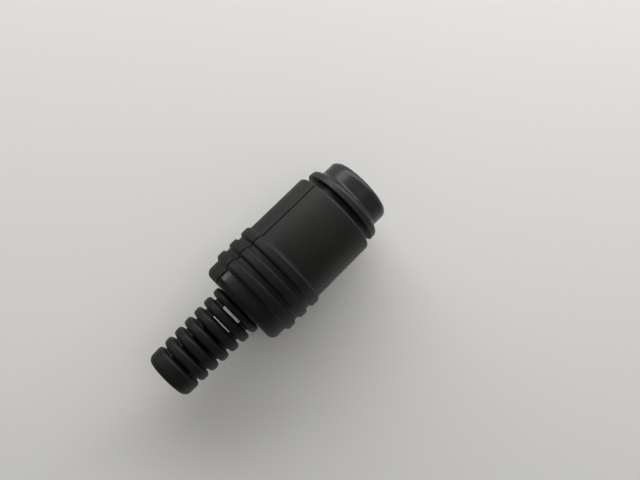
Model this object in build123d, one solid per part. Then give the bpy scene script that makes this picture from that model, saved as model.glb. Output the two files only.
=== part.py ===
from build123d import *
import os

os.makedirs("parts", exist_ok=True)

# Body of the two half shells, from which the other radii follow
body_radius = 7.78
body_draft = 0.06
shell_wall = 1.68
fit = 0.1
shell_bore = body_radius - shell_wall
neck_radius = shell_bore - fit

# Nose of the insert. The socket stands on its face, so z = 0 is the face and +Z points to the cord end.
nose_radius = 5.95
nose_length = 3.2
nose_rounding = 1.0
nose_root = 0.2

# Flange of the insert, one piece with the nose
flange_radius = body_radius - 0.55
land_front_radius = flange_radius - 0.07
land_rounding = 0.45
slope_length = 0.55
land_length = 1.19
land_chamfer = 0.15
flange_back = nose_length + slope_length + land_length

# Rear of the insert, hidden in the shells
catch_depth = 0.75
catch_radius = neck_radius - catch_depth
neck_length = 2.06
groove_depth = 0.5
catch_length = 1.0
block_length = 5.7
catch_start = flange_back + neck_length
block_front = catch_start + catch_length
block_back = block_front + block_length

# Blade slot and round hole in the face
blade_width = 4.2
blade_thickness = 1.2
hole_offset = 3.4
mouth_depth = 1.6
mouth_chamfer = 0.2

# Contacts
sleeve_radius = 1.45
sleeve_bore = 1.1
sleeve_split = 0.4
sleeve_split_length = 5.5
hole_radius = sleeve_radius + fit / 2
collar_radius = 1.85
collar_length = 1.1
stem_radius = 0.85
stem_reach = 0.7
cup_radius = 1.25
cup_wall = 0.35
cup_length = 3.6
leaf_width = 4.0
leaf_thickness = 0.35
leaf_throat = 0.42
leaf_belly = 0.72
leaf_heel = 0.46
chamber_depth = 2.4
yoke_width = 4.8
yoke_depth = 1.7
yoke_length = 0.5
tag_width = 2.4
tag_thickness = 0.5
tag_reach = 4.6
eye_radius = 0.6
eye_margin = 1.4

# Retainer disc behind the insert, held by two staked pegs
retainer_thickness = 1.3
peg_radius = 0.6
peg_x = 4.0
peg_y = 1.8
peg_head_radius = 1.0
peg_head_height = 0.45
key_width = 1.6
key_depth = 0.6
retainer_back = block_back + retainer_thickness

# Outside of the half shells
joint_gap = 1.1
shell_length = 21.92
shell_front = flange_back + joint_gap
shell_back = shell_front + shell_length
front_radius = body_radius - body_draft
front_rounding = 0.55
shoulder_drop = 0.15
shoulder_rounding = 1.2
seam_gap = 0.12
seam_step = 0.3

# Ribs round the shells, placed back from the shoulder
rib_count = 3
rib_height = 0.44
rib_top = 1.32
rib_pitch = 2.61
rib_steep = 0.3
rib_gentle = 0.5
rib_rounding = 0.4
shoulder_length = 3.9
rib_radius = body_radius + rib_height
last_rib = shell_back - shoulder_length
first_rib = last_rib - (rib_count - 1) * rib_pitch
seam_step_from = first_rib + rib_top / 2 + rib_steep

# Walls across the inside of the shells
rear_wall = 1.5
pocket_length = 1.3
grip_wall = 1.1
grip_radius = 2.5
grip_spacing = 2.9
grip_room = shell_bore - 0.9
neck_hole_radius = 4.0
pocket_side = 8.6
pocket_radius = 5.7
pocket_front = shell_back - rear_wall - pocket_length

# Snap tongue and dowel of a shell
tongue_angle = 21
barb_angle = 7
tongue_thickness = 0.95
tongue_length = 3.0
tongue_start = retainer_back + 0.9
barb_height = 0.4
dowel_radius = 0.45
dowel_length = 1.0
dowel_x = (neck_hole_radius + body_radius) / 2

# Strain relief
relief_length = 15.75
relief_front_radius = 4.64
relief_back_radius = 4.2
root_ring_length = 1.35
tail_collar_length = 2.92
gap_count = 6
gap_width = 0.68
gap_draft = 0.17
gap_pitch = (relief_length - root_ring_length - tail_collar_length - gap_width) / (gap_count - 1)
ring_rounding = 0.4
tail_rounding = 1.1
core_radius = 3.45
core_bore = 2.8
cord_radius = 2.5
mouth_flare = 0.5
slot_width = 3.55
relief_turn = -45
relief_seat = 0.05
relief_front = shell_back + relief_seat
relief_back = relief_front + relief_length


def turned(outline, roundings=()):
    """Solid of revolution from (radius, z) points, with some corners rounded."""
    face = make_face(Polyline(*outline, close=True))
    for index, radius in roundings:
        corner = Vector(*outline[index])
        face = fillet(face.vertices().sort_by_distance(corner)[0], radius)
    return revolve(Plane.XZ * face, Axis.Z)


def disc(radius, start, end, x=0.0, y=0.0):
    """Round bar along Z between two heights."""
    return Pos(x, y, (start + end) / 2) * Cylinder(radius, end - start)


def block(width, depth, start, end, x=0.0, y=0.0):
    """Square bar along Z between two heights."""
    return Pos(x, y, (start + end) / 2) * Box(width, depth, end - start)


def ring_part(inner, outer, start, end, angle_from, angle_to):
    """Part of a ring between two heights and two angles round Z."""
    full = disc(outer, start, end) - disc(inner, start, end)
    slice_face = Rot(0, 0, angle_from) * pie(outer + 1, angle_to - angle_from)
    return full & (Pos(0, 0, start) * extrude(slice_face, end - start))


def pie(radius, angle):
    """Flat wedge from the X axis round to an angle below 90 degrees."""
    tip = Vector(radius * 2, 0).rotate(Axis.Z, angle)
    return make_face(Polyline((0, 0), (radius * 2, 0), (tip.X, tip.Y), close=True))


def key_notches(start, end):
    """Two grooves at the sides that stop the insert from turning in the shells."""
    x = neck_radius - key_depth / 2 + 0.5
    return [block(key_depth + 1, key_width, start, end, side * x) for side in (-1, 1)]


def mouth_tools():
    """Hole and slot in the face with their lead-in chamfers. The hole holds the sleeve as well."""
    hole = disc(hole_radius, -1, block_back + 1, 0, -hole_offset)
    cone = Cone(hole_radius + mouth_chamfer, hole_radius, mouth_chamfer)
    cone = Pos(0, -hole_offset, mouth_chamfer / 2) * cone
    slot = block(blade_width, blade_thickness, -1, mouth_depth + 0.1)
    wide = Rectangle(blade_width + 2 * mouth_chamfer, blade_thickness + 2 * mouth_chamfer)
    narrow = Pos(0, 0, mouth_chamfer) * Rectangle(blade_width, blade_thickness)
    return [hole, cone, slot, loft([wide.face(), narrow.face()])]


def insert():
    """Nose, flange and contact block in one glossy moulding."""
    outline = [
        (0, 0),
        (nose_radius, 0),
        (nose_radius, nose_length),
        (land_front_radius, nose_length + slope_length),
        (flange_radius, flange_back - land_chamfer),
        (flange_radius - land_chamfer / 2, flange_back),
        (neck_radius - groove_depth, flange_back),
        (neck_radius - groove_depth, shell_front),
        (neck_radius, shell_front),
        (neck_radius, catch_start),
        (catch_radius, catch_start),
        (catch_radius, block_front),
        (neck_radius, block_front),
        (neck_radius, block_back),
        (0, block_back),
    ]
    body = turned(outline, [(1, nose_rounding), (2, nose_root), (3, land_rounding)])
    body -= key_notches(block_front, block_back + 1)
    body -= mouth_tools()
    ease = fit / 2
    collar_front = block_back - collar_length - ease
    body -= disc(collar_radius + ease, collar_front, block_back + 1, 0, -hole_offset)
    body -= block(leaf_width + 2 * fit, chamber_depth, mouth_depth, block_back - 2 * collar_length)
    body -= block(leaf_width + 2 * fit, yoke_depth + fit, mouth_depth, block_back + 1)
    body -= block(yoke_width + fit, yoke_depth + fit, block_back - yoke_length - fit / 2, block_back + 1)
    for side in (-1, 1):
        body += disc(peg_radius, block_back - 0.5, retainer_back + peg_head_height, side * peg_x, peg_y)
        head = disc(peg_head_radius, retainer_back, retainer_back + peg_head_height, side * peg_x, peg_y)
        body += fillet(head.edges().group_by(Axis.Z)[-1], peg_head_height * 0.6)
    return body


def retainer():
    """Disc that closes the contact chambers, pierced for both tags and the staked pegs."""
    plate = disc(neck_radius, block_back, retainer_back)
    plate -= key_notches(block_back - 1, retainer_back + 1)
    plate -= disc(stem_radius + fit / 2, block_back - 1, retainer_back + 1, 0, -hole_offset)
    plate -= block(tag_width + fit, tag_thickness + fit, block_back - 1, retainer_back + 1)
    for side in (-1, 1):
        plate -= disc(peg_radius + fit / 2, block_back - 1, retainer_back + 1, side * peg_x, peg_y)
    return plate


def round_contact():
    """Split sleeve for the round pin, with a collar, a stem and a solder cup."""
    front = mouth_depth + fit
    collar_front = block_back - collar_length
    cup_front = retainer_back + stem_reach
    cup_back = cup_front + cup_length
    part = disc(sleeve_radius, front, collar_front, 0, -hole_offset)
    part += disc(collar_radius, collar_front, block_back, 0, -hole_offset)
    part += disc(stem_radius, block_back, cup_front, 0, -hole_offset)
    part += disc(cup_radius, cup_front, cup_back, 0, -hole_offset)
    part -= disc(sleeve_bore, front - 1, collar_front - 1, 0, -hole_offset)
    part -= block(4 * sleeve_radius, sleeve_split, front - 1, front + sleeve_split_length, 0, -hole_offset)
    part -= disc(cup_radius - cup_wall, cup_front + 2 * cup_wall, cup_back + 1, 0, -hole_offset)
    open_side = -hole_offset - cup_radius / 2
    part -= block(4 * cup_radius, cup_radius, cup_front + 3 * cup_wall, cup_back + 1, 0, open_side)
    return part


def leaf(side):
    """One spring leaf, bowed towards the blade and flared at the mouth."""
    front = mouth_depth + leaf_thickness
    back = block_back - yoke_length
    reach = back - front
    inner = [
        (leaf_belly, front),
        (leaf_throat, front + 0.17 * reach),
        (leaf_belly, front + 0.5 * reach),
        (leaf_heel, front + 0.86 * reach),
        (leaf_heel, back + fit),
    ]
    outer = [(y + leaf_thickness, z) for y, z in reversed(inner)]
    outline = [(side * y, z) for y, z in inner + outer]
    face = make_face(Polyline(*outline, close=True))
    return extrude(Plane.YZ * face, leaf_width / 2, both=True)


def blade_contact():
    """Fork of two leaves on a yoke, with a flat tag and a solder eye."""
    tag_back = retainer_back + tag_reach
    part = leaf(-1) + leaf(1)
    part += block(yoke_width, yoke_depth, block_back - yoke_length, block_back)
    part += block(tag_width, tag_thickness, block_back - fit, tag_back)
    part -= Pos(0, 0, tag_back - eye_margin) * Rot(90, 0, 0) * Cylinder(eye_radius, 4 * tag_thickness)
    return part


def rib(number):
    """One round rib. The first is flatter to the nose, the last flatter to the shoulder."""
    middle = first_rib + number * rib_pitch
    front = rib_gentle if number == 0 else rib_steep
    back = rib_gentle if number == rib_count - 1 else rib_steep
    low = middle - rib_top / 2
    high = middle + rib_top / 2
    outline = [
        (shell_bore + fit, low - front),
        (body_radius - shoulder_drop, low - front),
        (rib_radius, low),
        (rib_radius, high),
        (body_radius - shoulder_drop, high + back),
        (shell_bore + fit, high + back),
    ]
    return turned(outline, [(2, rib_rounding), (3, rib_rounding)])


def root_square(side, radius, start, end):
    """Square with cut-off corners that keys the strain relief in the shells."""
    square = Rot(0, 0, relief_turn) * block(side, side, start, end)
    return square & disc(radius, start, end)


def housing():
    """Both shells as one closed housing, before the parting is cut."""
    outline = [
        (0, shell_front),
        (front_radius, shell_front),
        (body_radius, first_rib),
        (body_radius, last_rib),
        (body_radius - shoulder_drop, last_rib),
        (body_radius - shoulder_drop, shell_back),
        (0, shell_back),
    ]
    solid = turned(outline, [(1, front_rounding), (5, shoulder_rounding)])
    for number in range(rib_count):
        solid += rib(number)
    catch_back = block_front - fit
    grip = pocket_front - grip_wall
    solid -= disc(shell_bore, shell_front - 1, catch_start + fit)
    solid -= disc(catch_radius + fit, shell_front - 1, catch_back + 0.1)
    solid -= disc(shell_bore, catch_back, grip - grip_spacing + grip_wall)
    solid -= disc(grip_room, grip - grip_spacing + 2 * grip_wall, grip)
    solid -= disc(grip_radius, shell_front, pocket_front + 0.1)
    solid -= root_square(pocket_side, pocket_radius, pocket_front, pocket_front + pocket_length)
    solid -= disc(neck_hole_radius, pocket_front + 0.1, shell_back + 1)
    return solid


def parting():
    """Space of the lower shell: below the seam, which steps sideways behind the first rib."""
    size = 3 * shell_back
    half = seam_gap / 2
    below = Pos(0, -size / 2 - half, size / 2) * Box(size, size, size)
    raised = Pos(size / 2, -size / 2 + seam_step - half, seam_step_from + size / 2) * Box(size, size, size)
    sunk = Pos(-size / 2, size / 2 - seam_step - half, seam_step_from + size / 2) * Box(size, size, size)
    return below + raised - sunk


def tongue():
    """Snap tongue inside the wall, with a barb at its end."""
    end = tongue_start + tongue_length
    inner = shell_bore - fit / 2 - tongue_thickness
    rail = ring_part(inner, shell_bore - fit / 2, tongue_start, end, -tongue_angle, tongue_angle)
    root = ring_part(inner, shell_bore + barb_height, tongue_start, end, -tongue_angle, -barb_angle / 2)
    barb_from = tongue_angle - barb_angle
    barb = ring_part(inner, shell_bore + barb_height, tongue_start, end, barb_from, tongue_angle)
    return rail + root + barb


def tongue_room():
    """Recess in the other wall for the barb."""
    end = tongue_start + tongue_length
    reach = shell_bore + barb_height + fit / 2
    low = 180 + tongue_angle - barb_angle - 1
    high = 180 + tongue_angle + 1
    return ring_part(shell_bore - tongue_thickness / 2, reach, tongue_start - fit, end + fit, low, high)


def shell_lower():
    """Half shell on the -Y side, with its tongue, keys and dowel."""
    part = housing() & parting()
    start = block_front + fit
    for side in (-1, 1):
        x = neck_radius - key_depth + fit
        wide = shell_bore - x + 3 * fit
        deep = key_width / 2 - fit / 2 - seam_gap / 2
        part += block(wide, deep, start, retainer_back, side * (x + wide / 2), -seam_gap / 2 - deep / 2)
    part -= tongue_room()
    part += tongue()
    z = shell_back - rear_wall / 2
    top = seam_step - seam_gap / 2
    dowel = Rot(90, 0, 0) * Cylinder(dowel_radius, dowel_length + 2 * fit)
    dowel_hole = Rot(90, 0, 0) * Cylinder(dowel_radius + fit / 2, dowel_length + 4 * fit)
    part += Pos(dowel_x, top + dowel_length / 2 - fit, z) * dowel
    part -= Pos(-dowel_x, -seam_step - dowel_length / 2, z) * dowel_hole
    return part


def ring_foot(z, spread):
    """Points of one side of a ring below its rim, the foot spread along Z."""
    if spread == 0:
        return [(cord_radius, z)]
    return [(cord_radius, z + spread), (core_radius, z + spread)]


def ring(start, end, rounding_back, draft_front, draft_back):
    """One ring of the relief on its slight taper, with sides that spread towards its foot."""
    drop = (relief_front_radius - relief_back_radius) / relief_length
    front = relief_front_radius - drop * (start - relief_front)
    back = relief_front_radius - drop * (end - relief_front)
    outline = ring_foot(start, -draft_front)
    rim = len(outline)
    outline += [(front, start), (back, end)] + ring_foot(end, draft_back)[::-1]
    return turned(outline, [(rim, ring_rounding), (rim + 1, rounding_back)])


def gap_starts():
    """Heights at which the gaps between the rings begin."""
    return [relief_front + root_ring_length + number * gap_pitch for number in range(gap_count)]


def relief():
    """Ringed, slotted boot for the cord, one soft moulding with a square root."""
    part = disc(core_radius, relief_front, relief_back - tail_rounding)
    start = relief_front
    draft_front = 0
    for gap in gap_starts():
        part += ring(start, gap, ring_rounding, draft_front, gap_draft)
        start = gap + gap_width
        draft_front = gap_draft
    part += ring(start, relief_back, tail_rounding, gap_draft, 0)
    part += disc(neck_hole_radius - fit, pocket_front + fit, relief_front + fit)
    low = pocket_front + relief_seat
    high = pocket_front + pocket_length - relief_seat
    part += root_square(pocket_side - 2 * fit, pocket_radius - fit, low, high)
    part -= disc(core_bore, pocket_front - 1, relief_back - tail_collar_length)
    part -= disc(cord_radius, pocket_front - 1, relief_back + 1)
    flare = Cone(cord_radius, cord_radius + mouth_flare, mouth_flare)
    part -= Pos(0, 0, relief_back - mouth_flare / 2) * flare
    for gap in gap_starts():
        low = gap + gap_draft
        high = gap + gap_width - gap_draft
        part -= Rot(0, 0, relief_turn) * block(4 * core_radius, slot_width, low, high)
    return part


lower = shell_lower()
pieces = {
    "insert": insert(),
    "retainer": retainer(),
    "round_contact": round_contact(),
    "blade_contact": blade_contact(),
    "shell_lower": lower,
    "shell_upper": lower.rotate(Axis.Z, 180),
    "relief": relief(),
}
for name, shape in pieces.items():
    export_step(shape, f"parts/{name}.step")
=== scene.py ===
import bmesh
import bpy
import numpy as np
from mathutils import Euler, Matrix, Vector


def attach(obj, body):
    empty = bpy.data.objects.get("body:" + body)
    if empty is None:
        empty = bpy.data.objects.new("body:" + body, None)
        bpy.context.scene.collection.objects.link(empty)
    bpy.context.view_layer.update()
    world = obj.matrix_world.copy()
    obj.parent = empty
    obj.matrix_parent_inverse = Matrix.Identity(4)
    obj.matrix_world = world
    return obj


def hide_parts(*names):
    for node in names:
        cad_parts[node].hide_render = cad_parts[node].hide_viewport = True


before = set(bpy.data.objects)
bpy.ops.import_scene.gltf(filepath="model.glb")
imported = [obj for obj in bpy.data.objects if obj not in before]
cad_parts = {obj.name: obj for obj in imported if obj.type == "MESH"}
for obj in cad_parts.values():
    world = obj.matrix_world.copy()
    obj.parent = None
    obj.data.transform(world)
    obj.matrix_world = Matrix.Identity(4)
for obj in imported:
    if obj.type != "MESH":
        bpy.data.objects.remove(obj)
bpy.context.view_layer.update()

# All sizes of the pieces are millimetres, and a mesh gets metres
MM = 0.001
SPOKES, PEG_SPOKES = 180, 72

# Rounding of an edge that has none of its own, and how much of it each column at the seam sinks by
EDGE = 0.06
EDGE_COLUMNS = np.array([1.0, 0.45, 0.12, 0.0])

# Steps of each rounded corner, and how far from it one more row of points lies, as a share of its radius
ARC_STEPS, ARC_REST = 6, 0.15

# Insert: nose, flange and contact block
NOSE_RADIUS, NOSE_LENGTH, NOSE_ROUNDING, NOSE_ROOT = 5.95, 3.2, 1.0, 0.6
FLANGE_RADIUS, FLANGE_DRAFT, LAND_FRONT, LAND_ROUNDING = 7.23, 0.07, 3.75, 0.75
FLANGE_BACK, FLANGE_EDGE = 4.94, 0.12
GROOVE_RADIUS, NECK_RADIUS, NECK_GAP, CATCH_RADIUS = 5.5, 6.0, 0.02, 5.25
CATCH_START, BLOCK_FRONT, BLOCK_BACK = 7.0, 8.0, 13.7
HOLE_OFFSET, HOLE_RADIUS, MOUTH_CHAMFER = 3.4, 1.5, 0.2
COLLAR_SEAT, COLLAR_FRONT = 1.9, 12.55
SLOT_WIDTH, SLOT_DEPTH, MOUTH_DEPTH = 4.2, 1.2, 1.6
CHAMBER_DEPTH, CHAMBER_BACK, YOKE_ROOM = 2.4, 11.5, 1.8

# Outside of the half shells
BODY_RADIUS, BODY_DRAFT = 7.78, 0.06
SHELL_FRONT, SHELL_BACK, FRONT_ROUNDING = 6.04, 27.96, 0.55
SHOULDER_DROP, SHOULDER_ROUNDING = 0.15, 1.2
RIB_RADIUS, RIB_TOP, RIB_PITCH, FIRST_RIB, RIB_COUNT = 8.22, 1.32, 2.61, 18.84, 3
RIB_STEEP, RIB_GENTLE, RIB_ROUNDING, RIB_FOOT_ROUNDING = 0.3, 0.5, 0.4, 0.08

# Inside of the half shells; the depths count from the shoulder's face
NECK_HOLE, NECK_DEPTH, POCKET_RADIUS, POCKET_DEPTH = 4.0, 1.5, 5.7, 2.8
GRIP_HOLE, FIRST_GRIP_DEPTH, SECOND_GRIP_DEPTH = 2.5, 3.9, 5.7
GRIP_ROOM, GRIP_ROOM_DEPTH = 5.2, 4.6
SHELL_BORE, CATCH_LIP, LIP_FRONT, LIP_BACK = 6.1, 5.35, 7.1, 7.9

# Seam of the half shells, with its step behind the first rib
SEAM_GAP, SEAM_SHIFT = 0.2, -0.3
SEAM_STEP, SEAM_STEP_AT, SEAM_STEP_REACH = 0.3, 19.8, 0.1

# Strain relief
RELIEF_FRONT, RELIEF_BACK, RELIEF_TURN = 28.01, 43.76, -45
RELIEF_RADII = (4.64, 4.2)
ROOT_RING, TAIL_COLLAR, GAP_WIDTH, GAP_DRAFT, GAP_COUNT = 1.35, 2.92, 0.68, 0.17, 6
GAP_PITCH = (RELIEF_BACK - RELIEF_FRONT - ROOT_RING - TAIL_COLLAR - GAP_WIDTH) / (GAP_COUNT - 1)
RING_ROUNDING, TAIL_ROUNDING = 0.58, 1.1
CORE_RADIUS, CORE_BORE, CORD_RADIUS = 3.45, 2.8, 2.5
MOUTH_FLARE, MOUTH_ROUNDING = 0.5, 0.1
ROOT_DEPTH, ROOT_BACK_DEPTH, ROOT_RADIUS, ROOT_HALF_SIDE = 2.8, 1.6, 5.6, 4.2
ROOT_NECK, ROOT_NECK_ROUNDING = 3.9, 0.05

# The bore's wall is closed at this height above the root, over this length
BORE_JOIN_AT, BORE_JOIN = 0.5, 0.1

# Windows through the relief's wall, and the sill that each leaves on both sides of its gap
WINDOW_WIDTH = 3.55
FIRST_SILL, SILL_GROWTH, WIDEST_SILL = 0.07, 0.065, 0.2

# A cutting tool reaches this far past a face that it opens, and past a room that it joins
OVERRUN, OVERLAP = 1.0, 0.1
CHAMFER_INSIDE, CHAMFER_OUTSIDE = 0.3, 0.5
WELD = 0.001

# Sharp edges, in degrees
TURNED_SHARP, CUT_SHARP = 40, 30


def rounded(corners):
    """Profile through (radius, height, rounding) corners. Each becomes an arc that touches both of its runs.

    With the unit vectors a and b along the two runs and h half the angle between them, an arc of radius q has
    its centre on the bisector at q / sin h and starts q / tan h from the corner. It is swept as a slerp of
    its two ends.
    """
    corners = [c if len(c) == 3 else (*c, EDGE) for c in corners]
    place = np.array([c[:2] for c in corners], float)
    runs = [place[:1]]
    for i in range(1, len(corners) - 1):
        q = corners[i][2]
        a, b = place[i - 1] - place[i], place[i + 1] - place[i]
        a, b = a / np.linalg.norm(a), b / np.linalg.norm(b)
        half = np.arccos(np.clip(a @ b, -1, 1)) / 2
        middle = place[i] + (a + b) / np.linalg.norm(a + b) * q / np.sin(half)
        reach = q / np.tan(half)
        start, end = place[i] + a * reach - middle, place[i] + b * reach - middle
        turn = np.pi - 2 * half
        t = np.linspace(0, 1, ARC_STEPS + 1)[:, None]
        arc = (np.sin((1 - t) * turn) * start + np.sin(t * turn) * end) / np.sin(turn) + middle
        rest = ARC_REST * q
        runs.append(np.vstack([arc[:1] + a * rest, arc, arc[-1:] + b * rest]))
    runs.append(place[-1:])
    return np.vstack(runs)


def new_piece(name, points, faces, slot):
    """Mesh object from points in millimetres and faces, smooth but for its sharp edges."""
    mesh = bpy.data.meshes.new(name)
    mesh.from_pydata((np.asarray(points, float) * MM).tolist(), [], [list(f) for f in faces])
    mesh.validate()
    mesh.shade_smooth()
    mesh.set_sharp_from_angle(angle=np.radians(TURNED_SHARP))
    piece = bpy.data.objects.new(name, mesh)
    bpy.context.scene.collection.objects.link(piece)
    if slot:
        mesh.materials.append(finishes[slot])
    return piece


def grid_faces(rows, columns, wrap_rows=False, wrap_columns=True):
    """Quads of a grid of points, row by row, closed round where a direction wraps."""
    i = np.arange(rows if wrap_rows else rows - 1)[:, None]
    k = np.arange(columns if wrap_columns else columns - 1)[None, :]
    here, there = i * columns, ((i + 1) % rows) * columns
    right = (k + 1) % columns
    return np.stack([here + k, here + right, there + right, there + k], -1).reshape(-1, 4).tolist()


def turned(profile, closed=False, wide=None):
    """Surface of revolution: profile place s and turn a give (r(s) cos a, r(s) sin a, z(s)).

    A closed profile makes a ring. An open one starts and ends on the axis, where one flat many-sided face
    closes it. wide, where it is given, limits r by the turn and the height.
    """
    turn = np.linspace(0, 2 * np.pi, SPOKES, endpoint=False)
    body = profile if closed else profile[1:-1]
    r = np.repeat(body[:, :1], SPOKES, 1)
    if wide is not None:
        r = wide(r, turn[None, :], body[:, 1:])
    z = np.repeat(body[:, 1:], SPOKES, 1)
    points = np.stack([r * np.cos(turn), r * np.sin(turn), z], -1).reshape(-1, 3)
    faces = grid_faces(len(body), SPOKES, wrap_rows=closed)
    if not closed:
        last = (len(body) - 1) * SPOKES
        faces += [list(range(SPOKES))[::-1], list(range(last, last + SPOKES))]
    return points, faces


def bar(half_x, half_y, low, high, flare=0.0, turn=0.0):
    """Square bar on the axis between two heights, its low end wider by flare on each side, turned about Z."""
    sx, sy = np.array([-1, 1, 1, -1]), np.array([-1, -1, 1, 1])
    rings = [
        np.stack([sx * (half_x + f), sy * (half_y + f), np.full(4, z)], -1)
        for f, z in ((flare, low), (0.0, high))
    ]
    points = np.vstack(rings) @ np.array(Euler((0, 0, np.radians(turn))).to_matrix()).T
    return points, grid_faces(2, 4) + [[3, 2, 1, 0], [4, 5, 6, 7]]


def peg(radius, low, high, y, flare=0.0):
    """Round bar at y between two heights, its low end wider by flare."""
    turn = np.linspace(0, 2 * np.pi, PEG_SPOKES, endpoint=False)
    rings = [
        np.stack([r * np.cos(turn), y + r * np.sin(turn), np.full(PEG_SPOKES, z)], -1)
        for r, z in ((radius + flare, low), (radius, high))
    ]
    ends = [list(range(PEG_SPOKES))[::-1], list(range(PEG_SPOKES, 2 * PEG_SPOKES))]
    return np.vstack(rings), grid_faces(2, PEG_SPOKES) + ends


def cut(piece, tools):
    """Takes closed shapes away from a piece, one after the other, and keeps the welded result as its mesh."""
    for points, faces in tools:
        tool = new_piece("tool", points, faces, None)
        step = piece.modifiers.new("cut", "BOOLEAN")
        step.object, step.operation, step.solver = tool, "DIFFERENCE", "EXACT"
        bpy.context.view_layer.update()
        done = piece.evaluated_get(bpy.context.evaluated_depsgraph_get())
        mesh = bpy.data.meshes.new_from_object(done)
        piece.modifiers.clear()
        piece.data = mesh
        bpy.data.objects.remove(tool)
    form = bmesh.new()
    form.from_mesh(piece.data)
    bmesh.ops.remove_doubles(form, verts=form.verts, dist=WELD * MM)
    bmesh.ops.dissolve_degenerate(form, edges=form.edges, dist=WELD * MM)
    bmesh.ops.triangulate(form, faces=[f for f in form.faces if len(f.verts) > 4])
    form.to_mesh(piece.data)
    form.free()
    piece.data.shade_smooth()
    piece.data.set_sharp_from_angle(angle=np.radians(CUT_SHARP))


# Finishes. Places and lengths in them are metres, and noise scales are patches per metre

# Middle of the rubbed spot behind the ribs, and the distances between which the wear fades
RUBBED_SPOT, RUBBED_FADE = (0.00767, -0.00067, 0.0264), (0.0004, 0.0027)

# Heights between which the shells turn from darker to lighter, and the nose's gloss gives way to the duller
# flange, which also gets painted shade
SHELL_FADE, FLANGE_DULL_AND_SHADE_FADE = (0.0245, 0.007), (0.0034, 0.0042)


def wire(tree, kind, inputs=(), **settings):
    """New shader node with its settings. inputs maps a socket's name or number to a value or a socket."""
    node = tree.nodes.new(kind)
    for key, value in settings.items():
        setattr(node, key, value)
    for key, value in dict(inputs).items():
        if isinstance(value, bpy.types.NodeSocket):
            tree.links.new(value, node.inputs[key])
        else:
            node.inputs[key].default_value = value
    return node


def blank(name):
    """Empty material, its tree and the place on the piece in object coordinates."""
    material = bpy.data.materials.new(name)
    material.use_nodes = True
    tree = material.node_tree
    tree.nodes.clear()
    return material, tree, wire(tree, "ShaderNodeTexCoord").outputs["Object"]


def coated(material, inputs):
    """The material with one principled surface of these inputs."""
    tree = material.node_tree
    shader = wire(tree, "ShaderNodeBsdfPrincipled", inputs).outputs[0]
    wire(tree, "ShaderNodeOutputMaterial", {"Surface": shader})
    return material


def height_of(tree, place):
    """Height along Z of a place."""
    return wire(tree, "ShaderNodeSeparateXYZ", {"Vector": place}).outputs["Z"]


def noise(tree, place, scale, detail=2.0, rough=0.5):
    """Noise over object coordinates."""
    inputs = {"Vector": place, "Scale": scale, "Detail": detail, "Roughness": rough}
    return wire(tree, "ShaderNodeTexNoise", inputs).outputs["Fac"]


def spread(tree, value, low, high, start=0.3, end=0.7):
    """Value mapped from start..end to low..high."""
    inputs = {"Value": value, "From Min": start, "From Max": end, "To Min": low, "To Max": high}
    return wire(tree, "ShaderNodeMapRange", inputs).outputs["Result"]


def tint(tree, value, dark, light, start=0.3, end=0.7):
    """Colour between a dark and a light tone, as the value goes from start to end."""
    ramp = wire(tree, "ShaderNodeValToRGB", {"Fac": value})
    for stop, place, tone in zip(ramp.color_ramp.elements, (start, end), (dark, light)):
        stop.position, stop.color = place, (*tone, 1)
    return ramp.outputs["Color"]


def mixed(tree, share, first, second):
    """Value between a first and a second one, by share."""
    return wire(tree, "ShaderNodeMix", {0: share, 2: first, 3: second}).outputs[0]


def scaled_sum(tree, value, factor, plus):
    """Value times factor, plus another value."""
    inputs = {0: value, 1: factor, 2: plus}
    return wire(tree, "ShaderNodeMath", inputs, operation="MULTIPLY_ADD").outputs[0]


def bump(tree, height, depth, strength, **under):
    """Relief of the given depth, on top of another relief where Normal names one."""
    inputs = {"Height": height, "Distance": depth, "Strength": strength, **under}
    return wire(tree, "ShaderNodeBump", inputs).outputs["Normal"]


def grained_black():
    """Matt black of the half shells: fine grain, greyer towards the front, a rubbed spot behind the ribs."""
    material, tree, place = blank("grained_black")
    slow = noise(tree, place, 350, 3)
    grain = noise(tree, place, 5200, 3, 0.6)
    apart = {0: place, 1: RUBBED_SPOT}
    away = wire(tree, "ShaderNodeVectorMath", apart, operation="DISTANCE").outputs["Value"]
    rubbed = spread(tree, away, 1.0, 0.0, *RUBBED_FADE)
    greyer = spread(tree, height_of(tree, place), 0.0, 0.8, *SHELL_FADE)
    tone = scaled_sum(tree, slow, 0.4, greyer)
    inputs = {
        "Base Color": tint(tree, tone, (0.002, 0.00197, 0.00185), (0.0152, 0.015, 0.0142), 0.1, 1.0),
        "Roughness": mixed(tree, rubbed, spread(tree, grain, 0.5, 0.62), 0.11),
        "Specular IOR Level": 0.13,
        "Normal": bump(tree, slow, 0.00008, 0.25, Normal=bump(tree, grain, 0.00002, 0.5)),
    }
    return coated(material, inputs)


def polished_black():
    """Black of the insert: glossy nose with faint handling haze, and a duller flange and block, darkened as
    painted shade.
    """
    material, tree, place = blank("polished_black")
    slow = noise(tree, place, 260, 2)
    haze = noise(tree, place, 2400, 4, 0.65)
    flange = spread(tree, height_of(tree, place), 0.0, 1.0, *FLANGE_DULL_AND_SHADE_FADE)
    # Painted shade: the flange and block get a darker base colour, standing in for the darker surroundings
    # that they reflect
    tone = scaled_sum(tree, flange, -0.3, slow)
    inputs = {
        "Base Color": tint(tree, tone, (0.01, 0.01, 0.0102), (0.02, 0.02, 0.0204), 0.0, 0.7),
        "Roughness": mixed(tree, flange, spread(tree, haze, 0.25, 0.31), 0.45),
        "Specular IOR Level": 0.15,
        "Normal": bump(tree, slow, 0.00006, 0.2),
    }
    return coated(material, inputs)


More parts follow.
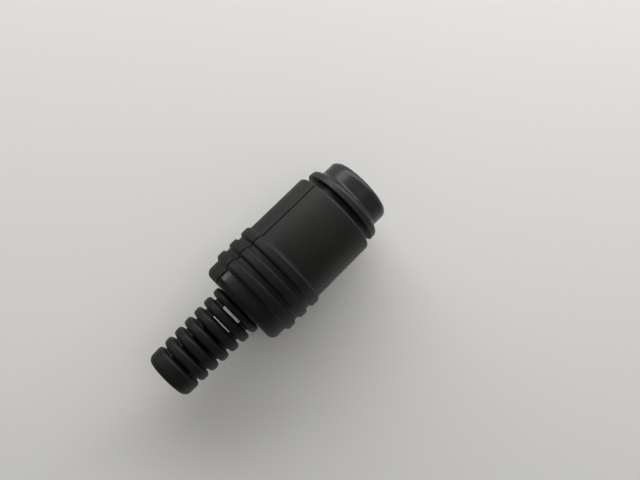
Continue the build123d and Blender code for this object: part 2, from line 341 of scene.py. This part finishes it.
def soft_black():
    """Satin black of the strain relief: softer plastic with a slight bloom."""
    material, tree, place = blank("soft_black")
    slow = noise(tree, place, 420, 3)
    fine = noise(tree, place, 3600, 3, 0.6)
    inputs = {
        "Base Color": tint(tree, slow, (0.0048, 0.0047, 0.0043), (0.0078, 0.0076, 0.007)),
        "Roughness": spread(tree, fine, 0.4, 0.55),
        "Specular IOR Level": 0.11,
        "Normal": bump(tree, fine, 0.000012, 0.4),
    }
    return coated(material, inputs)


def tinned():
    """Tinned contact metal: satin, with drawing marks along the pin's way."""
    material, tree, place = blank("tinned")
    stretched = wire(tree, "ShaderNodeMapping", {"Vector": place, "Scale": (1.0, 1.0, 0.08)}).outputs[0]
    marks = noise(tree, stretched, 5000, 3)
    slow = noise(tree, place, 700, 2)
    inputs = {
        "Base Color": tint(tree, slow, (0.55, 0.53, 0.49), (0.7, 0.68, 0.64)),
        "Metallic": 1.0,
        "Roughness": spread(tree, marks, 0.25, 0.42),
        "Normal": bump(tree, marks, 0.00001, 0.4),
    }
    return coated(material, inputs)


finishes = {
    "insert": polished_black(),
    "shell": grained_black(),
    "relief": soft_black(),
    "contact": tinned(),
}


# Pieces


def stand_for(piece, node):
    """The piece rides with the housing and is shown in place of a node."""
    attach(piece, "root")
    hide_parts(node)


def make_insert():
    """Nose, stepped flange and block in one turned shape, pierced for the pin and the blade."""
    profile = rounded(
        [
            (0, 0),
            (NOSE_RADIUS, 0, NOSE_ROUNDING),
            (NOSE_RADIUS, NOSE_LENGTH, NOSE_ROOT),
            (FLANGE_RADIUS - FLANGE_DRAFT, LAND_FRONT, LAND_ROUNDING),
            (FLANGE_RADIUS, FLANGE_BACK, FLANGE_EDGE),
            (GROOVE_RADIUS, FLANGE_BACK),
            (GROOVE_RADIUS, SHELL_FRONT + NECK_GAP),
            (NECK_RADIUS, SHELL_FRONT + NECK_GAP),
            (NECK_RADIUS, CATCH_START),
            (CATCH_RADIUS, CATCH_START),
            (CATCH_RADIUS, BLOCK_FRONT),
            (NECK_RADIUS, BLOCK_FRONT),
            (NECK_RADIUS, BLOCK_BACK),
            (0, BLOCK_BACK),
        ]
    )
    piece = new_piece("insert_moulding", *turned(profile), "insert")
    back = BLOCK_BACK + OVERRUN
    slot_x, slot_y = SLOT_WIDTH / 2, SLOT_DEPTH / 2
    chamfer = (-CHAMFER_OUTSIDE, MOUTH_CHAMFER + CHAMFER_INSIDE)
    flare = MOUTH_CHAMFER + CHAMFER_INSIDE + CHAMFER_OUTSIDE
    tools = [
        peg(COLLAR_SEAT, COLLAR_FRONT, back, -HOLE_OFFSET),
        peg(HOLE_RADIUS, -OVERRUN, back + OVERRUN, -HOLE_OFFSET),
        peg(HOLE_RADIUS - CHAMFER_INSIDE, *chamfer, -HOLE_OFFSET, flare),
        bar(slot_x, slot_y, -OVERRUN, MOUTH_DEPTH + OVERLAP),
        bar(slot_x - CHAMFER_INSIDE, slot_y - CHAMFER_INSIDE, *chamfer, flare),
        bar(slot_x, CHAMBER_DEPTH / 2, MOUTH_DEPTH, CHAMBER_BACK),
        bar(slot_x, YOKE_ROOM / 2, MOUTH_DEPTH, back),
    ]
    cut(piece, tools)
    stand_for(piece, "insert")


def rib_corners(number):
    """Corners of one rib; the first is flatter to the nose and the last to the shoulder."""
    middle = FIRST_RIB + number * RIB_PITCH
    low, high = middle - RIB_TOP / 2, middle + RIB_TOP / 2
    front = RIB_GENTLE if number == 0 else RIB_STEEP
    back = RIB_GENTLE if number == RIB_COUNT - 1 else RIB_STEEP
    foot = BODY_RADIUS - SHOULDER_DROP if number == RIB_COUNT - 1 else BODY_RADIUS
    return [
        (BODY_RADIUS, low - front, RIB_FOOT_ROUNDING),
        (RIB_RADIUS, low, RIB_ROUNDING),
        (RIB_RADIUS, high, RIB_ROUNDING),
        (foot, high + back, RIB_FOOT_ROUNDING),
    ]


def shell_outside():
    """Outside profile of the shells from the front lip to the neck hole in the shoulder's face."""
    ribs = [corner for number in range(RIB_COUNT) for corner in rib_corners(number)]
    return rounded(
        [
            (SHELL_BORE, SHELL_FRONT),
            (BODY_RADIUS - BODY_DRAFT, SHELL_FRONT, FRONT_ROUNDING),
            *ribs,
            (BODY_RADIUS - SHOULDER_DROP, SHELL_BACK, SHOULDER_ROUNDING),
            (NECK_HOLE, SHELL_BACK),
        ]
    )


def shell_inside():
    """Inside profile from the shoulder's face to the front.

    It has the neck hole, a pocket, two grip walls, the bore and the catch lip. Each radius holds from the
    height before it to its own.
    """
    steps = [
        (NECK_HOLE, SHELL_BACK - NECK_DEPTH),
        (POCKET_RADIUS, SHELL_BACK - POCKET_DEPTH),
        (GRIP_HOLE, SHELL_BACK - FIRST_GRIP_DEPTH),
        (GRIP_ROOM, SHELL_BACK - GRIP_ROOM_DEPTH),
        (GRIP_HOLE, SHELL_BACK - SECOND_GRIP_DEPTH),
        (SHELL_BORE, LIP_BACK),
        (CATCH_LIP, LIP_FRONT),
    ]
    radii = [r for r, _ in steps] + [SHELL_BORE]
    return np.array([(r, z) for k, (_, z) in enumerate(steps) for r in radii[k : k + 2]])


def make_shell(name, node, half_turn):
    """Half shell: the closed loop of its outside and inside profile, swept through a half turn.

    Loop place s and turn t give (r(s) cos t, r(s) sin t, z(s)). The sweep starts on the +X side at
    y = gap / 2 + Y(z), at the turn asin(y / r), and ends on the -X side at y = gap / 2 - Y(z), where Y steps
    sideways behind the first rib as a logistic curve. Towards the seam the outside sinks by up to EDGE in a
    few columns, which rounds it, and one many-sided face closes each end.
    """
    outside, inside = shell_outside(), shell_inside()
    along = np.gradient(outside, axis=0)
    along /= np.linalg.norm(along, axis=1)[:, None]
    inward = np.vstack([np.stack([-along[:, 1], along[:, 0]], -1), np.zeros_like(inside)])
    r, z = np.vstack([outside, inside]).T
    seam = SEAM_SHIFT + SEAM_STEP / (1 + np.exp(-(z - SEAM_STEP_AT) / SEAM_STEP_REACH))
    near, far = [], []
    for sink, inset in zip(EDGE * EDGE_COLUMNS, EDGE * EDGE_COLUMNS[::-1]):
        sunk = r + sink * inward[:, 0]
        near.append((sunk, np.arcsin((SEAM_GAP / 2 + inset + seam) / sunk), sink))
        far.append((sunk, np.pi - np.arcsin((SEAM_GAP / 2 + inset - seam) / sunk), sink))
    shares = np.linspace(0, 1, SPOKES // 2 + 1)[1:-1]
    between = [(r, (1 - share) * near[-1][1] + share * far[-1][1], 0.0) for share in shares]
    columns = [
        np.stack([radius * np.cos(turn), radius * np.sin(turn), z + sink * inward[:, 1]], -1)
        for radius, turn, sink in near + between + far[::-1]
    ]
    points = np.stack(columns, 1)
    rows, count = points.shape[:2]
    points = points.reshape(-1, 3)
    if half_turn:
        points[:, :2] *= -1
    faces = grid_faces(rows, count, wrap_rows=True, wrap_columns=False)
    ends = [list(range(0, rows * count, count)), list(range(count - 1, rows * count, count))[::-1]]
    stand_for(new_piece(name, points, faces + ends, "shell"), node)


def gap_starts():
    """Heights at which the gaps between the relief's rings begin."""
    return [RELIEF_FRONT + ROOT_RING + number * GAP_PITCH for number in range(GAP_COUNT)]


def ring_corners(start, end, back_rounding):
    """Corners of one ring on the relief's slight taper."""
    fall = (RELIEF_RADII[0] - RELIEF_RADII[1]) / (RELIEF_BACK - RELIEF_FRONT)
    front = RELIEF_RADII[0] - fall * (start - RELIEF_FRONT)
    back = RELIEF_RADII[0] - fall * (end - RELIEF_FRONT)
    return [(front, start, RING_ROUNDING), (back, end, back_rounding)]


def make_relief():
    """Ringed boot turned from one closed profile, with windows cut through the wall of each gap."""
    root, root_back = RELIEF_FRONT - ROOT_DEPTH, RELIEF_FRONT - ROOT_BACK_DEPTH
    corners = [
        (CORE_BORE, root + BORE_JOIN_AT),
        (CORE_BORE, root),
        (ROOT_RADIUS, root),
        (ROOT_RADIUS, root_back),
        (ROOT_NECK, root_back),
        (ROOT_NECK, RELIEF_FRONT, ROOT_NECK_ROUNDING),
    ]
    start = RELIEF_FRONT
    for gap in gap_starts():
        corners += ring_corners(start, gap, RING_ROUNDING)
        corners += [(CORE_RADIUS, gap + GAP_DRAFT), (CORE_RADIUS, gap + GAP_WIDTH - GAP_DRAFT)]
        start = gap + GAP_WIDTH
    corners += ring_corners(start, RELIEF_BACK, TAIL_ROUNDING)
    corners += [
        (CORD_RADIUS + MOUTH_FLARE, RELIEF_BACK, MOUTH_ROUNDING),
        (CORD_RADIUS, RELIEF_BACK - MOUTH_FLARE, MOUTH_ROUNDING),
        (CORD_RADIUS, RELIEF_BACK - TAIL_COLLAR),
        (CORE_BORE, RELIEF_BACK - TAIL_COLLAR),
        (CORE_BORE, root + BORE_JOIN_AT + BORE_JOIN),
    ]

    def keyed(r, turn, z):
        """Root as a square with cut-off corners: r is at most its half side / max(|cos t|, |sin t|)."""
        t = turn - np.radians(RELIEF_TURN)
        square = ROOT_HALF_SIDE / np.maximum(np.abs(np.cos(t)), np.abs(np.sin(t)))
        return np.where(z < root_back + EDGE, np.minimum(r, square), r)

    boot = turned(rounded(corners), closed=True, wide=keyed)
    piece = new_piece("relief_moulding", *boot, "relief")
    windows = []
    for number, gap in enumerate(gap_starts()):
        sill = min(FIRST_SILL + SILL_GROWTH * number, WIDEST_SILL)
        low, high = gap + sill, gap + GAP_WIDTH - sill
        windows.append(bar(2 * CORE_RADIUS, WINDOW_WIDTH / 2, low, high, turn=RELIEF_TURN))
    cut(piece, windows)
    stand_for(piece, "relief")


make_insert()
make_shell("half_shell_front", "shell_upper", False)
make_shell("half_shell_back", "shell_lower", True)
make_relief()

for node, slot in (("retainer", "insert"), ("round_contact", "contact"), ("blade_contact", "contact")):
    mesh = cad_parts[node].data
    mesh.materials.clear()
    mesh.materials.append(finishes[slot])


# Studio, in metres

# The camera's side, the seam's side to the right of it, up, and the way that the nose points
toward, across = np.array([1, -1, 0]) / np.sqrt(2), np.array([1, 1, 0]) / np.sqrt(2)
upward, nose_way = np.array([0, 0, 1]), np.array([0, 0, -1])

# The table lies just behind the ribs and reaches this far each way
TABLE_BEHIND, TABLE_REACH = 0.0083, 1.5
TABLE_COLOUR, TABLE_GLOW, GLOW_SHARE = (0.605, 0.6, 0.583), (0.605, 0.6, 0.58), 0.03
CLOUD_DEPTH = 0.985

# Point that the lamps face, on the socket's axis
LIT_MIDDLE = Vector((0, 0, 0.02))

# World colour, and its strength for the rays that light the socket and for the rays that are seen
WORLD_COLOUR, LIGHT_STRENGTH, SEEN_STRENGTH = (1.0, 0.99, 0.97, 1.0), 0.315, 0.5

# Each lamp's steepness and swing in degrees, then its distance, width, height and power
LAMPS = {
    "window_light": (65, 50, 0.34, 0.6, 0.2, 2.45),
    "low_light": (77, 1, 0.42, 0.12, 0.1, 0.3),
    "ceiling_light": (19.5, 143, 0.5, 0.16, 0.16, 0.1),
    "nose_light": (74, 99, 0.4, 0.05, 0.05, 0.2),
    "back_light": (138, 195, 0.4, 0.5, 0.3, 2.2),
}


def seen_rays(tree):
    """1 for camera, glossy and transmission rays, and 0 for the rays that only carry light."""
    rays = wire(tree, "ShaderNodeLightPath").outputs
    seen = rays["Is Camera Ray"]
    for kind in ("Is Glossy Ray", "Is Transmission Ray"):
        seen = wire(tree, "ShaderNodeMath", {0: seen, 1: rays[kind]}, operation="MAXIMUM").outputs[0]
    return seen


def table_pale():
    """Pale even table that takes the socket's shadow. Seen rays get a small share of it as its own light.

    Its back is see-through, so that the socket can be looked at from behind.
    """
    material, tree, place = blank("table_pale")
    darker = tuple(CLOUD_DEPTH * part for part in TABLE_COLOUR)
    tone = tint(tree, noise(tree, place, 9, 2), darker, TABLE_COLOUR)
    matt = wire(tree, "ShaderNodeBsdfDiffuse", {"Color": tone}).outputs[0]
    glow = wire(tree, "ShaderNodeEmission", {"Color": (*TABLE_GLOW, 1), "Strength": 1.0}).outputs[0]
    share = {0: seen_rays(tree), 1: GLOW_SHARE}
    share = wire(tree, "ShaderNodeMath", share, operation="MULTIPLY").outputs[0]
    front = wire(tree, "ShaderNodeMixShader", {0: share, 1: matt, 2: glow}).outputs[0]
    behind = wire(tree, "ShaderNodeNewGeometry").outputs["Backfacing"]
    clear = wire(tree, "ShaderNodeBsdfTransparent").outputs[0]
    surface = wire(tree, "ShaderNodeMixShader", {0: behind, 1: front, 2: clear}).outputs[0]
    wire(tree, "ShaderNodeOutputMaterial", {"Surface": surface})
    return material


def lay_table():
    """Flat square sheet behind the socket, which lies on it as seen from the camera's side."""
    ways = ((-1, -1), (1, -1), (1, 1), (-1, 1))
    corners = [TABLE_REACH * (x * across + z * upward) - TABLE_BEHIND * toward for x, z in ways]
    mesh = bpy.data.meshes.new("floor")
    mesh.from_pydata([tuple(corner) for corner in corners], [], [(0, 1, 2, 3)])
    mesh.materials.append(table_pale())
    sheet = bpy.data.objects.new("floor", mesh)
    sheet.visible_shadow = False
    bpy.context.scene.collection.objects.link(sheet)


def hang_lamp(name, steep, swing, distance, width, height, power):
    """Softbox that faces the socket, steep from the camera's side and swung from the seam's side to the nose.

    Its way out is cos(steep) times the camera's side plus sin(steep) times the swung way, and its width lies
    along the swing.
    """
    steep, swing = np.radians(steep), np.radians(swing)
    swung = np.cos(swing) * across + np.sin(swing) * nose_way
    out = Vector(np.cos(steep) * toward + np.sin(steep) * swung).normalized()
    side = Vector(np.cos(swing) * nose_way - np.sin(swing) * across).normalized()
    light = bpy.data.lights.new(name, "AREA")
    light.shape, light.size, light.size_y, light.energy = "RECTANGLE", width, height, power
    lamp = bpy.data.objects.new(name, light)
    lamp.location = out * distance + LIT_MIDDLE
    lamp.rotation_euler = Matrix((side, out.cross(side), out)).transposed().to_euler()
    bpy.context.scene.collection.objects.link(lamp)


def pale_world():
    """Even pale surroundings, brighter where they are seen than where they light the socket."""
    world = bpy.data.worlds.new("studio")
    world.use_nodes = True
    tree = world.node_tree
    tree.nodes.clear()
    strength = spread(tree, seen_rays(tree), LIGHT_STRENGTH, SEEN_STRENGTH, 0.0, 1.0)
    around = wire(tree, "ShaderNodeBackground", {"Color": WORLD_COLOUR, "Strength": strength}).outputs[0]
    wire(tree, "ShaderNodeOutputWorld", {"Surface": around})
    return world


lay_table()
for name, settings in LAMPS.items():
    hang_lamp(name, *settings)
bpy.context.scene.world = pale_world()

# Place, turn and lens that bring the socket's outline where the photograph has it
camera = bpy.data.cameras.new("camera")
camera.sensor_width, camera.lens = 36, 42.19
camera.clip_start, camera.clip_end = 0.005, 20
viewer = bpy.data.objects.new("camera", camera)
viewer.location = (0.0858314, -0.0858314, 0.02802)
viewer.rotation_euler = (-1.3742129, 0.7810224, -2.2045980)
bpy.context.scene.collection.objects.link(viewer)
bpy.context.scene.camera = viewer

bpy.context.scene.view_settings.view_transform = "Standard"
